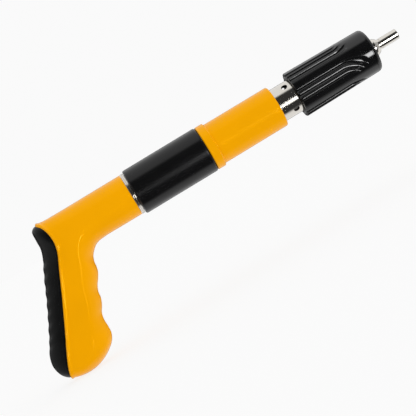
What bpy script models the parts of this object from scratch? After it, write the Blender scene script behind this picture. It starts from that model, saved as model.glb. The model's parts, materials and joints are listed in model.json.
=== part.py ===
"""Powder-actuated nail gun: pistol handle, steel receiver tube, and a barrel that is pushed back to fire.

Sizes are in millimetres until a shape is made. Stations run along the barrel's axis from the muzzle face, which
is 0, and are negative behind it. +X points the way the nail is driven, +Z is up, and the grip hangs down.
"""

import math

import bmesh
import bpy
from mathutils import Matrix, Vector

MM = 0.001

# Overall sizes and travels.
MUZZLE_X = 212.5  # the origin is below the middle of a 425 mm long tool
AXIS_HEIGHT = 117.9  # barrel's axis above the lowest point of the grip
STROKE = 13.0  # how far the barrel is pushed back before the striker trips
LATCH_DROP = 1.495  # how far the cam moves the latch over that stroke
PIN_TRAVEL = 2.5
GAP = 0.3  # between pieces that touch
BEYOND = 40  # how far a cutter reaches, to end outside any piece

# Receiver tube and what is on it.
TUBE_OUTER, TUBE_INNER = 18.0, 16.2
TUBE_REAR, TUBE_FRONT = -363.7, -134.4
COVER_BORE = TUBE_OUTER + GAP
HANDLE_FRONT = -284.3
COLLAR_RADIUS, COLLAR_FRONT = 20.4, -280.9
MID_RADIUS, MID_FRONT = 22.1, -204.5
SLEEVE_RADIUS, SLEEVE_FRONT = 20.0, -128.8
FLANGE_RADIUS, FLANGE_FRONT = 21.8, -196.0
SLEEVE_LIP = 2.3
PLUG_PIN_STATION, SEAT_PIN_STATION, STOP_PIN_STATION = -358.5, -228.7, -150.0
PIN_RADIUS, PIN_HOLE = 1.5, 1.8
PLUG_PIN_RADIUS, PLUG_PIN_REACH, PIN_REACH = 2.0, 17.9, 18.1  # reach is from the barrel's axis
PLUG_NECK, PLUG_SHOULDER, PLUG_NECK_FRONT = 8.5, -353.0, -343.0
BUFFER_RADIUS, BUFFER_REAR, BUFFER_FRONT = 15.6, -352.7, -348.7
CAM_SCREW_INSET = 5.0

# Vent tube, barrel and muffler.
VENT_OUTER, VENT_INNER = 16.0, 14.0
VENT_REAR, VENT_FRONT = -212.0, -38.0
VENT_HOLE_STATION, VENT_HOLE_RADIUS = -115.8, 2.7
INSERT_RADIUS = VENT_INNER - GAP
BARREL_RADIUS, NAIL_BORE = 5.0, 3.7
BARREL_HOLE = BARREL_RADIUS + GAP
BREECH_REAR, PIN_FACE, BREECH_FRONT = -172.0, -150.0, -140.0
BREECH_BORE, PIN_BUSH, BUSH_LENGTH, BREECH_PIN_STATION = 4.6, 2.3, 4.0, -162.0
BARREL_RING_STATION, PORT_STATION, PORT_RADIUS = -18.2, -76.5, 1.2
NUT_REAR, NUT_SHOULDER, NOSE_RADIUS = -56.0, -37.7, 8.5
BAFFLES = {"front_baffle": -70.0, "middle_baffle": -84.0, "rear_baffle": -98.0}
BAFFLE_THICKNESS, BAFFLE_HOLE, BAFFLE_HOLE_CIRCLE = 2.0, 1.5, 9.0
CLIP_GROOVE_FRONT, CLIP_GROOVE_REAR, CLIP_GROOVE_DEPTH = -100.0, -101.7, 0.7
SHELL_REAR, SHELL_FRONT = -109.5, -27.7
SHELL_REAR_RADIUS, SHELL_FRONT_RADIUS = 22.25, 21.2
SHELL_HOLE, SHELL_WALL, SEAT_RADIUS, SHELL_INNER = 8.9, 5.3, 18.9, 19.6
FLUTES, FLUTE_DEPTH, FLUTE_END, POINTS_PER_FLUTE = 18, 0.7, -50.0, 3
FLUTE_FADE = 12.0  # length over which a flute runs out

# Striker, latch, cam and trip stem.
SEAT_REAR, SEAT_FRONT, SEAT_HOLE = -230.7, -226.7, 4.6
STRIKER_REAR, STRIKER_FRONT, STRIKER_RADIUS = -290.0, -231.0, 15.8
STRIKER_BORE_END = -253.2
STRIKER_TAIL, TAIL_LENGTH = 8.5, 8.0
LATCH_REAR, LATCH_FRONT, LATCH_BOTTOM, LATCH_TOP = -247.7, -240.3, -7.5, 10.0
SLOT_FLOOR = -12.5
STEM_RADIUS, STEM_BORE, STEM_HOLE, STEM_REAR = 4.0, 2.0, 4.4, -240.0
PIN_COLLAR_FRONT, PIN_COLLAR_REAR, PIN_COLLAR_RADIUS = -163.2, -165.7, 4.2
CAM_REAR, CAM_FRONT, CAM_HALF_WIDTH, CAM_TOP = -262.5, -238.5, 3.9, 15.3
CAM_SLOPE = LATCH_DROP / STROKE
CAM_HEIGHT = 13.6  # of its sloping face, above the middle of the latch

ROUND, HIDDEN_ROUND, SMALL_ROUND = 32, 20, 10  # sides of round shapes

# Handle's form. Each section joins a point on its back line to one on its front line:
# (back station, back z, front station, front z, half width), with z from the barrel's axis.
HANDLE_SECTIONS = [
    (HANDLE_FRONT, 20.2, HANDLE_FRONT, -20.2, 20.2),
    (-322.5, 20.2, -322.5, -20.2, 20.2),
    (-346.0, 20.2, -333.5, -22.0, 20.2),
    (-362.5, 20.4, -339.0, -26.3, 20.2),
    (-372.2, 20.7, -342.3, -30.5, 20.2),
    (-377.8, 17.6, -343.9, -35.0, 20.0),
    (-379.0, 9.0, -344.5, -39.6, 19.7),
    (-379.4, 0.4, -345.8, -44.2, 19.3),
    (-381.8, -7.2, -348.7, -49.2, 18.8),
    (-386.5, -16.0, -352.3, -54.2, 18.3),
    (-392.0, -26.9, -354.8, -59.6, 17.9),
    (-398.1, -40.0, -355.7, -65.5, 17.6),
    (-404.5, -52.8, -358.4, -71.9, 17.6),
    (-410.9, -65.0, -362.0, -77.8, 17.8),
    (-417.2, -76.9, -363.5, -84.2, 18.3),
    (-423.0, -87.8, -363.5, -91.0, 18.8),
    (-425.0, -96.4, -364.1, -97.8, 18.8),
    (-423.6, -104.6, -367.6, -104.4, 17.6),
    (-420.0, -110.5, -374.4, -110.2, 15.0),
    (-413.6, -114.9, -382.0, -114.4, 10.5),
    (-405.5, -117.2, -390.0, -117.0, 5.5),
]
HEEL = (-398.3, -AXIS_HEIGHT)
ROUND_SECTIONS, SQUARE_SECTION = 3, 8  # round up to the first, squarest from the second
GRIP_SQUARENESS = 2.35  # superellipse exponent of the grip's sections
HANDLE_SIDES = 20

# Where the plastic ends and the rubber backstrap begins, on the handle's side: (station, z).
BACKSTRAP_LINE = [
    (-376.5, 24.0),
    (-371.8, 19.0),
    (-366.4, 11.0),
    (-365.0, 1.0),
    (-368.1, -12.8),
    (-372.9, -22.4),
    (-386.8, -51.6),
    (-408.5, -94.8),
    (-413.0, -104.7),
    (-419.0, -121.0),
]
BACKSTRAP_THICKNESS = 3.0
HANDLE_WALL = 6.0
SCREW_PLACES = [(-366.0, -30.0), (-381.0, -61.0), (-394.0, -95.0)]
SCREW_SEAT, SCREW_END, SCREW_HEAD = 9.0, -9.5, 2.5
HEAD_RADIUS, RECESS_RADIUS = 3.2, 3.6
BOSS_RADIUS, BOSS_REACH = 4.0, 14.0
REGION_REAR, REGION_AHEAD, REGION_BOTTOM, REGION_TOP = -460, -270, -140, 40  # larger than the whole handle

YELLOW = ("yellow_plastic", (0.93, 0.45, 0.01, 1), 0.35, 0.0)
BLACK = ("black_plastic", (0.015, 0.015, 0.015, 1), 0.3, 0.0)
RUBBER = ("black_rubber", (0.02, 0.02, 0.02, 1), 0.6, 0.0)
CHROME = ("chromed_steel", (0.8, 0.79, 0.76, 1), 0.12, 1.0)
STEEL = ("machined_steel", (0.5, 0.5, 0.5, 1), 0.35, 1.0)
HARD_STEEL = ("hardened_steel", (0.2, 0.2, 0.21, 1), 0.4, 1.0)


def clear_scene():
    for obj in list(bpy.data.objects):
        bpy.data.objects.remove(obj, do_unlink=True)


def new_collection(name):
    collection = bpy.data.collections.new(name)
    bpy.context.scene.collection.children.link(collection)
    return collection


def material(finish):
    name, colour, roughness, metallic = finish
    found = bpy.data.materials.get(name)
    if found:
        return found
    made = bpy.data.materials.new(name)
    made.use_nodes = True
    shader = made.node_tree.nodes["Principled BSDF"]
    shader.inputs["Base Color"].default_value = colour
    shader.inputs["Roughness"].default_value = roughness
    shader.inputs["Metallic"].default_value = metallic
    return made


def add(name, data, finish, parent):
    """Puts a mesh or curve into the scene. Without a finish it is a cutter, which isn't part of the model."""
    obj = bpy.data.objects.new(name, data)
    obj.parent = parent
    if finish:
        data.materials.append(material(finish))
        PARTS.objects.link(obj)
    else:
        CUTTERS.objects.link(obj)
        obj.hide_render = True
        obj.display_type = "WIRE"
    return obj


def body(name, parent=None):
    """An empty for the pieces that move together, on the barrel's axis at the muzzle face."""
    made = bpy.data.objects.new(name, None)
    PARTS.objects.link(made)
    made.parent = parent
    if not parent:
        made.location = (MUZZLE_X * MM, 0, AXIS_HEIGHT * MM)
    return made


def finished_mesh(name, shape):
    mesh = bpy.data.meshes.new(name)
    bmesh.ops.recalc_face_normals(shape, faces=shape.faces)
    shape.to_mesh(mesh)
    shape.free()
    return mesh


def combine(obj, other, operation="DIFFERENCE"):
    modifier = obj.modifiers.new(other.name, "BOOLEAN")
    modifier.operation = operation
    modifier.object = other
    return obj


def turned(name, profile, finish, parent, sides=HIDDEN_ROUND):
    """Revolves (radius, station) points round the barrel's axis.

    The outer side runs from the muzzle end to the rear. A bored piece's profile closes along its bore, and a
    solid piece's starts and ends on the axis.
    """
    edges = [(i, i + 1) for i in range(len(profile) - 1)]
    if profile[0][0] > 0:
        edges.append((len(profile) - 1, 0))
    mesh = bpy.data.meshes.new(name)
    mesh.from_pydata([(radius * MM, 0, station * MM) for radius, station in profile], edges, [])
    obj = add(name, mesh, finish, parent)
    obj.rotation_euler.y = math.radians(90)
    screw = obj.modifiers.new("Turn", "SCREW")
    screw.axis = "Z"
    screw.angle = math.tau
    screw.steps = sides
    screw.render_steps = sides
    screw.use_merge_vertices = True
    screw.merge_threshold = 0.002 * MM
    screw.use_smooth_shade = True
    return obj


def tube_profile(outer, inner, rear, front, chamfer=0.4):
    c = chamfer
    edge = [(outer - c, front), (outer, front - c), (outer, rear + c), (outer - c, rear)]
    return edge + [(inner, rear), (inner, front)]


def rod_profile(cylinders):
    """Profile of a solid turned piece from (radius, front, rear) cylinders, muzzle end first."""
    profile = [(0, cylinders[0][1])]
    for radius, front, rear in cylinders:
        profile += [(radius, front), (radius, rear)]
    return profile + [(0, cylinders[-1][2])]


def arc(centre_radius, centre_station, size, start, end, steps=2):
    """Points of a rounded edge: size from its centre, from one angle to another, 0 outwards and 90 forwards."""
    angles = [math.radians(start + (end - start) * i / steps) for i in range(steps + 1)]
    return [(centre_radius + size * math.cos(a), centre_station + size * math.sin(a)) for a in angles]


def box(name, low, high, finish, parent):
    shape = bmesh.new()
    bmesh.ops.create_cube(shape, size=1)
    size = [(b - a) * MM for a, b in zip(low, high)]
    middle = Vector([(a + b) / 2 * MM for a, b in zip(low, high)])
    bmesh.ops.scale(shape, vec=size, verts=shape.verts)
    bmesh.ops.translate(shape, vec=middle, verts=shape.verts)
    return add(name, finished_mesh(name, shape), finish, parent)


def pins(name, radius, spans, finish, parent, sides=SMALL_ROUND):
    """Plain cylinders, each from one point to another, as one object."""
    shape = bmesh.new()
    for start, end in spans:
        start, end = Vector(start) * MM, Vector(end) * MM
        turn = (end - start).to_track_quat("Z", "Y").to_matrix().to_4x4()
        place = Matrix.Translation((start + end) / 2) @ turn
        bmesh.ops.create_cone(
            shape,
            cap_ends=True,
            segments=sides,
            radius1=radius * MM,
            radius2=radius * MM,
            depth=(end - start).length,
            matrix=place,
        )
    return add(name, finished_mesh(name, shape), finish, parent)


def numbered_pins(name, radius, spans, finish, parent):
    """Pins or plain screws of one kind, each its own object."""
    for number, span in enumerate(spans):
        pins(f"{name}_{number + 1}", radius, [span], finish, parent)


def radial_spans(station, inner, outer, angles):
    """Spans that point away from the barrel's axis, at angles in degrees from +Y towards +Z."""
    spans = []
    for angle in angles:
        y, z = math.cos(math.radians(angle)), math.sin(math.radians(angle))
        spans.append(((station, inner * y, inner * z), (station, outer * y, outer * z)))
    return spans


def prism(name, outline, half_width, finish, parent):
    """An outline of (station, z) points, extruded across the tool."""
    shape = bmesh.new()
    corners = [shape.verts.new((x * MM, -half_width * MM, z * MM)) for x, z in outline]
    face = shape.faces.new(corners)
    grown = bmesh.ops.extrude_face_region(shape, geom=[face])["geom"]
    moved = [item for item in grown if isinstance(item, bmesh.types.BMVert)]
    bmesh.ops.translate(shape, vec=(0, 2 * half_width * MM, 0), verts=moved)
    return add(name, finished_mesh(name, shape), finish, parent)


def coil(name, radius, wire, turns, low, high, finish, parent, steps=10):
    """A compression spring along its own Z axis, which stands between low and high."""
    curve = bpy.data.curves.new(name, "CURVE")
    curve.dimensions = "3D"
    curve.bevel_depth = wire * MM
    curve.bevel_resolution = 1
    curve.render_resolution_u = 0
    curve.use_fill_caps = True
    spline = curve.splines.new("POLY")
    count = round(turns * steps)
    spline.points.add(count)
    rise = high - low - 2 * wire
    for i, point in enumerate(spline.points):
        angle = math.tau * i / steps
        x, y, z = radius * math.cos(angle), radius * math.sin(angle), low + wire + rise * i / count
        point.co = (x * MM, y * MM, z * MM, 1)
    return add(name, curve, finish, parent)


def barrel_coil(*shape):
    obj = coil(*shape)
    obj.rotation_euler.y = math.radians(90)
    return obj


def handle_form(name, finish, parent, inset=0.0):
    """The handle's whole outer form, or the same form with its skin moved inwards."""
    shape = bmesh.new()
    rings = []
    for index, (back_x, back_z, front_x, front_z, half_width) in enumerate(HANDLE_SECTIONS):
        blend = (index - ROUND_SECTIONS + 1) / (SQUARE_SECTION - ROUND_SECTIONS + 1)
        exponent = 2 / (2 + (GRIP_SQUARENESS - 2) * min(max(blend, 0), 1))
        verts = []
        for side in range(HANDLE_SIDES):
            angle = math.tau * side / HANDLE_SIDES
            along = math.copysign(abs(math.cos(angle)) ** exponent, math.cos(angle))
            across = math.copysign(abs(math.sin(angle)) ** exponent, math.sin(angle))
            x = (back_x + front_x) / 2 + along * (front_x - back_x) / 2
            z = (back_z + front_z) / 2 + along * (front_z - back_z) / 2
            verts.append(shape.verts.new((x * MM, across * half_width * MM, z * MM)))
        rings.append(verts)
    for ring, following in zip(rings, rings[1:]):
        for i in range(HANDLE_SIDES):
            j = (i + 1) % HANDLE_SIDES
            shape.faces.new((ring[i], ring[j], following[j], following[i]))
    shape.faces.new(rings[0])
    heel = shape.verts.new((HEEL[0] * MM, 0, HEEL[1] * MM))
    for i in range(HANDLE_SIDES):
        shape.faces.new((rings[-1][i], rings[-1][(i + 1) % HANDLE_SIDES], heel))
    obj = add(name, finished_mesh(name, shape), finish, parent)
    if inset:
        displace = obj.modifiers.new("Inset", "DISPLACE")
        displace.direction = "NORMAL"
        displace.mid_level = 0
        displace.strength = -inset * MM
    return obj


def moved_line(line, distance):
    """The same line, moved sideways towards the handle's back."""
    moved = []
    for i, (x, z) in enumerate(line):
        ahead, behind = line[min(i + 1, len(line) - 1)], line[max(i - 1, 0)]
        run_x, run_z = ahead[0] - behind[0], ahead[1] - behind[1]
        length = math.hypot(run_x, run_z)
        moved.append((x + run_z / length * distance, z - run_x / length * distance))
    return moved


def make_handle(parent):
    rear_region = BACKSTRAP_LINE + [(REGION_REAR, REGION_BOTTOM), (REGION_REAR, REGION_TOP)]
    front_region = moved_line(BACKSTRAP_LINE, GAP) + [(REGION_AHEAD, REGION_BOTTOM), (REGION_AHEAD, REGION_TOP)]
    behind = prism("behind_line", rear_region, BEYOND, None, parent)
    ahead = prism("ahead_of_line", front_region, BEYOND, None, parent)
    core = handle_form("core_form", None, parent, BACKSTRAP_THICKNESS + GAP)
    cavity = handle_form("cavity_form", None, parent, HANDLE_WALL)
    under_strap = handle_form("under_strap_form", None, parent, BACKSTRAP_THICKNESS)
    tube_space = [(COVER_BORE, HANDLE_FRONT + 5, TUBE_REAR - GAP)]
    bore = turned("handle_bore", rod_profile(tube_space), None, parent, ROUND)
    holes = pins("screw_holes", PIN_HOLE, screw_spans(SCREW_END - 1, SCREW_SEAT + 1), None, parent)
    recesses = pins("screw_recesses", RECESS_RADIUS, screw_spans(SCREW_SEAT, BEYOND), None, parent)
    for side, name in ((-1, "handle_shell_right"), (1, "handle_shell_left")):
        shell = handle_form(name, YELLOW, parent)
        combine(shell, behind)
        combine(shell, core, "UNION")
        combine(shell, cavity)
        combine(shell, bore)
        low, high = sorted((side * GAP / 2, side * -BEYOND))
        split_low, split_high = (REGION_REAR, low, REGION_BOTTOM), (REGION_AHEAD, high, REGION_TOP)
        combine(shell, box(name + "_split", split_low, split_high, None, parent))
        boss_spans = screw_spans(side * GAP / 2, side * BOSS_REACH)
        bosses = pins(name + "_bosses", BOSS_RADIUS, boss_spans, None, parent)
        combine(shell, bosses, "UNION")
        combine(shell, holes)
        if side > 0:
            combine(shell, recesses)
    strap = handle_form("backstrap", RUBBER, parent)
    combine(strap, ahead)
    combine(strap, under_strap)
    make_screws(parent)


def make_screws(parent):
    head_top = SCREW_SEAT + GAP + SCREW_HEAD
    for number, (x, z) in enumerate(SCREW_PLACES):
        name = f"handle_screw_{number + 1}"
        head_bottom = SCREW_SEAT + GAP
        profile = rod_profile([(HEAD_RADIUS, head_top, head_bottom), (PIN_RADIUS, head_bottom, SCREW_END)])
        screw = turned(name, profile, STEEL, parent, SMALL_ROUND)
        screw.location = (x * MM, 0, z * MM)
        screw.rotation_euler = (math.radians(-90), 0, 0)


def screw_spans(low, high):
    return [((x, low, z), (x, high, z)) for x, z in SCREW_PLACES]


def make_receiver(parent):
    tube = turned(
        "receiver_tube", tube_profile(TUBE_OUTER, TUBE_INNER, TUBE_REAR, TUBE_FRONT), STEEL, parent, ROUND
    )
    across = radial_spans(PLUG_PIN_STATION, -BEYOND, BEYOND, [0])
    combine(tube, pins("plug_pin_hole", PLUG_PIN_RADIUS + GAP, across, None, parent))
    small = radial_spans(SEAT_PIN_STATION, 12, BEYOND, [0, 180])
    small += radial_spans(STOP_PIN_STATION, 12, BEYOND, [90, 270])
    for station in (CAM_REAR + CAM_SCREW_INSET, CAM_FRONT - CAM_SCREW_INSET):
        small += radial_spans(station, 15, BEYOND, [90])
    combine(tube, pins("tube_pin_holes", PIN_HOLE, small, None, parent))

    plug_steps = [(PLUG_NECK, PLUG_NECK_FRONT, PLUG_SHOULDER), (TUBE_INNER - GAP, PLUG_SHOULDER, TUBE_REAR)]
    plug = turned("rear_plug", rod_profile(plug_steps), STEEL, parent)
    combine(plug, pins("plug_cross_hole", PLUG_PIN_RADIUS + GAP, across, None, parent))
    plug_pin = radial_spans(PLUG_PIN_STATION, -PLUG_PIN_REACH, PLUG_PIN_REACH, [0])
    pins("plug_pin", PLUG_PIN_RADIUS, plug_pin, HARD_STEEL, parent)
    washer = tube_profile(BUFFER_RADIUS, PLUG_NECK + 0.5, BUFFER_REAR, BUFFER_FRONT)
    turned("buffer_washer", washer, RUBBER, parent)
    barrel_coil("main_spring", 12.4, 1.6, 8, BUFFER_FRONT + GAP, STRIKER_REAR - GAP, HARD_STEEL, parent)

    seat = turned("spring_seat", tube_profile(TUBE_INNER - GAP, SEAT_HOLE, SEAT_REAR, SEAT_FRONT), STEEL, parent)
    seat_pins = radial_spans(SEAT_PIN_STATION, 13.5, PIN_REACH, [0, 180])
    seat_holes = radial_spans(SEAT_PIN_STATION, 13.5 - GAP, BEYOND, [0, 180])
    combine(seat, pins("seat_pin_holes", PIN_HOLE, seat_holes, None, parent))
    numbered_pins("seat_pin", PIN_RADIUS, seat_pins, HARD_STEEL, parent)
    stop_pins = radial_spans(STOP_PIN_STATION, 14.4, PIN_REACH, [90, 270])
    numbered_pins("stop_pin", PIN_RADIUS, stop_pins, HARD_STEEL, parent)
    make_cam(parent)


def cam_face(station):
    """Height of the cam's sloping face above the barrel's axis."""
    return CAM_HEIGHT + CAM_SLOPE * (station - (LATCH_REAR + LATCH_FRONT) / 2)


def make_cam(parent):
    outline = [
        (CAM_REAR, cam_face(CAM_REAR)),
        (CAM_FRONT, cam_face(CAM_FRONT)),
        (CAM_FRONT, CAM_TOP),
        (CAM_REAR, CAM_TOP),
    ]
    cam = prism("trip_cam", outline, CAM_HALF_WIDTH, HARD_STEEL, parent)
    spans, hole_spans = [], []
    for station, tip in ((CAM_REAR + CAM_SCREW_INSET, 13.2), (CAM_FRONT - CAM_SCREW_INSET, 14.6)):
        spans += radial_spans(station, tip, PIN_REACH, [90])
        hole_spans += radial_spans(station, tip - GAP, BEYOND, [90])
    combine(cam, pins("cam_screw_holes", PIN_HOLE, hole_spans, None, parent))
    numbered_pins("cam_screw", PIN_RADIUS, spans, STEEL, parent)


def make_covers(parent):
    """The rings and sleeves round the receiver tube, ahead of the handle."""
    rear, front, groove = HANDLE_FRONT + GAP, COLLAR_FRONT, 0.5
    middle = (rear + front) / 2
    collar = [
        (COLLAR_RADIUS - 0.3, front),
        (COLLAR_RADIUS, front - 0.3),
        (COLLAR_RADIUS, middle + 0.5),
        (COLLAR_RADIUS - groove, middle + 0.25),
        (COLLAR_RADIUS - groove, middle - 0.25),
        (COLLAR_RADIUS, middle - 0.5),
        (COLLAR_RADIUS, rear + 0.3),
        (COLLAR_RADIUS - 0.3, rear),
        (COVER_BORE, rear),
        (COVER_BORE, front),
    ]
    turned("lock_collar", collar, CHROME, parent, ROUND)

    rear, front, edge = COLLAR_FRONT + GAP, MID_FRONT, 1.8
    sleeve = arc(MID_RADIUS - edge, front - edge, edge, 90, 0) + arc(MID_RADIUS - edge, rear + edge, edge, 0, -90)
    turned("mid_sleeve", sleeve + [(COVER_BORE, rear), (COVER_BORE, front)], BLACK, parent, ROUND)

    rear, front, lip, edge = MID_FRONT + GAP, SLEEVE_FRONT, VENT_OUTER + 2 * GAP, 1.6
    sleeve = arc(SLEEVE_RADIUS - edge, front - edge, edge, 90, 0)
    sleeve += arc(SLEEVE_RADIUS + 0.8, FLANGE_FRONT + 0.8, 0.8, 180, 270)
    sleeve += arc(FLANGE_RADIUS - 0.8, FLANGE_FRONT - 0.8, 0.8, 90, 0)
    sleeve += arc(FLANGE_RADIUS - 0.8, rear + 0.8, 0.8, 0, -90)
    sleeve += [(COVER_BORE, rear), (COVER_BORE, front - SLEEVE_LIP), (lip, front - SLEEVE_LIP), (lip, front)]
    turned("front_sleeve", sleeve, YELLOW, parent, ROUND)
    wiper_front = SLEEVE_FRONT - SLEEVE_LIP - GAP
    wiper = tube_profile(TUBE_OUTER, VENT_OUTER + GAP, TUBE_FRONT + GAP, wiper_front)
    turned("wiper_ring", wiper, RUBBER, parent, ROUND)


def make_muzzle(parent):
    groove = VENT_INNER + CLIP_GROOVE_DEPTH
    tube = [
        (VENT_OUTER - 0.5, VENT_FRONT),
        (VENT_OUTER, VENT_FRONT - 0.5),
        (VENT_OUTER, VENT_REAR + 0.5),
        (VENT_OUTER - 0.5, VENT_REAR),
        (VENT_INNER, VENT_REAR),
        (VENT_INNER, CLIP_GROOVE_REAR),
        (groove, CLIP_GROOVE_REAR),
        (groove, CLIP_GROOVE_FRONT),
        (VENT_INNER, CLIP_GROOVE_FRONT),
        (VENT_INNER, VENT_FRONT),
    ]
    tube = turned("vent_tube", tube, CHROME, parent, ROUND)
    vents = radial_spans(VENT_HOLE_STATION, 11, 20, [45, 135, 225, 315])
    combine(tube, pins("vents", VENT_HOLE_RADIUS, vents, None, parent, 16))
    slot_rear, slot_front = STOP_PIN_STATION - PIN_HOLE, STOP_PIN_STATION + STROKE + PIN_HOLE
    slot_low, slot_high = (slot_rear, -PIN_HOLE, -20), (slot_front, PIN_HOLE, 20)
    combine(tube, box("stop_slots", slot_low, slot_high, None, parent))
    breech_holes = radial_spans(BREECH_PIN_STATION, 8 - GAP, BEYOND, [0, 180])
    breech_cutter = pins("breech_pin_holes", PIN_HOLE, breech_holes, None, parent)
    combine(tube, breech_cutter)
    breech_pins = radial_spans(BREECH_PIN_STATION, 8, VENT_OUTER - 0.1, [0, 180])
    numbered_pins("breech_pin", PIN_RADIUS, breech_pins, HARD_STEEL, parent)

    bush_rear = PIN_FACE - BUSH_LENGTH
    breech = tube_profile(INSERT_RADIUS, BREECH_BORE, BREECH_REAR, BREECH_FRONT)[:-2]
    breech += [(BREECH_BORE, BREECH_REAR), (BREECH_BORE, bush_rear), (PIN_BUSH, bush_rear), (PIN_BUSH, PIN_FACE)]
    breech += [(BARREL_HOLE, PIN_FACE), (BARREL_HOLE, BREECH_FRONT)]
    combine(turned("breech_block", breech, HARD_STEEL, parent), breech_cutter)

    barrel = [
        (BARREL_RADIUS - 0.5, 0),
        (BARREL_RADIUS, -0.5),
        (BARREL_RADIUS, BARREL_RING_STATION + 0.5),
        (BARREL_RADIUS - 0.5, BARREL_RING_STATION + 0.3),
        (BARREL_RADIUS - 0.5, BARREL_RING_STATION - 0.3),
        (BARREL_RADIUS, BARREL_RING_STATION - 0.5),
        (BARREL_RADIUS, PIN_FACE + GAP),
        (NAIL_BORE, PIN_FACE + GAP),
        (NAIL_BORE, 0),
    ]
    barrel = turned("barrel", barrel, CHROME, parent)
    for index, span in enumerate(radial_spans(PORT_STATION, -8, 8, [0, 90])):
        combine(barrel, pins(f"barrel_port_{index + 1}", PORT_RADIUS, [span], None, parent))

    nut = arc(NOSE_RADIUS - 3.5, -24.0, 3.5, 78, 0) + [(NOSE_RADIUS, NUT_SHOULDER), (INSERT_RADIUS, NUT_SHOULDER)]
    nut += [(INSERT_RADIUS, NUT_REAR), (BARREL_HOLE, NUT_REAR), (BARREL_HOLE, nut[0][1])]
    turned("barrel_nut", nut, CHROME, parent)
    turned("muffler_mount", tube_profile(18.6, VENT_OUTER + GAP, -60.0, -48.0), STEEL, parent, ROUND)
    make_baffles(parent)

    neck, flange = 4.3, 7.0
    stem = [(STEM_BORE, -166.0), (neck, -166.0), (neck, -172.3), (flange, -172.3), (flange, -175.0)]
    stem += [(STEM_RADIUS, -175.0), (STEM_RADIUS, STEM_REAR), (STEM_BORE, STEM_REAR)]
    turned("trip_stem", stem, HARD_STEEL, parent)
    barrel_coil("return_spring", 11.2, 1.0, 9, SEAT_FRONT + GAP, BREECH_REAR - GAP, HARD_STEEL, parent)
    barrel_coil("pin_spring", 3.2, 0.4, 5, PIN_COLLAR_FRONT + GAP, bush_rear - 0.2, HARD_STEEL, parent)


def make_baffles(parent):
    """Gas baffles in the front of the vent tube, held apart by thin spacers and held in by a circlip."""
    front = NUT_REAR - GAP
    for number, (name, station) in enumerate(BAFFLES.items()):
        turned(f"spacer_{number + 1}", tube_profile(INSERT_RADIUS, 12.7, station + GAP, front, 0), STEEL, parent)
        rear = station - BAFFLE_THICKNESS
        plate = turned(name, tube_profile(INSERT_RADIUS, BARREL_HOLE, rear, station, 0), STEEL, parent)
        angles = [60 * step + 30 * (number % 2) for step in range(6)]
        spans = []
        for angle in angles:
            y = BAFFLE_HOLE_CIRCLE * math.cos(math.radians(angle))
            z = BAFFLE_HOLE_CIRCLE * math.sin(math.radians(angle))
            spans.append(((rear - 1, y, z), (station + 1, y, z)))
        combine(plate, pins(name + "_holes", BAFFLE_HOLE, spans, None, parent, 8))
        front = rear - GAP
    clip = tube_profile(VENT_INNER + 0.4, 12.4, CLIP_GROOVE_REAR + GAP, CLIP_GROOVE_FRONT - GAP, 0)
    circlip = turned("baffle_circlip", clip, HARD_STEEL, parent)
    combine(circlip, box("circlip_gap", (-103, -3, -16), (-98, 3, -10), None, parent))


def make_muffler(parent):
    """The fluted shell round the front of the vent tube, open at its rear."""
    fading = [FLUTE_END - FLUTE_FADE, FLUTE_END - FLUTE_FADE / 2, FLUTE_END]
    stations = [SHELL_REAR + 1.0] + fading + [SHELL_FRONT - 3.0]
    outline = [(SHELL_REAR, 0.8)] + [(s, 0) for s in stations] + [(SHELL_FRONT - 1.0, 1.3), (SHELL_FRONT, 3.8)]
    sides = FLUTES * POINTS_PER_FLUTE
    shape = bmesh.new()
    rings = []
    for station, drop in outline:
        share = (station - SHELL_REAR) / (SHELL_FRONT - SHELL_REAR)
        radius = SHELL_REAR_RADIUS + (SHELL_FRONT_RADIUS - SHELL_REAR_RADIUS) * share - drop
        fade = min(max((FLUTE_END - station) / FLUTE_FADE, 0), 1)
        depth = FLUTE_DEPTH * fade * (0.6 if drop else 1)
        ring = []
        for side in range(sides):
            angle = math.tau * side / sides
            r = radius - depth * (0.5 - 0.5 * math.cos(angle * FLUTES))
            ring.append(shape.verts.new((station * MM, r * math.cos(angle) * MM, r * math.sin(angle) * MM)))
        rings.append(ring)
    for ring, following in zip(rings, rings[1:]):
        for i in range(sides):
            j = (i + 1) % sides
            shape.faces.new((ring[i], ring[j], following[j], following[i]))
    shape.faces.new(rings[0])
    shape.faces.new(rings[-1])
    shell = add("muffler_shell", finished_mesh("muffler_shell", shape), BLACK, parent)
    inside = [
        (SHELL_HOLE, SHELL_FRONT + 5),
        (SHELL_HOLE, SHELL_FRONT - SHELL_WALL),
        (SEAT_RADIUS, SHELL_FRONT - SHELL_WALL),
        (SEAT_RADIUS, -62.0),
        (SHELL_INNER, -66.0),
        (SHELL_INNER, SHELL_REAR - 5),
    ]
    inside = [(0, SHELL_FRONT + 5)] + inside + [(0, SHELL_REAR - 5)]
    combine(shell, turned("muffler_inside", inside, None, parent, ROUND))


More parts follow.
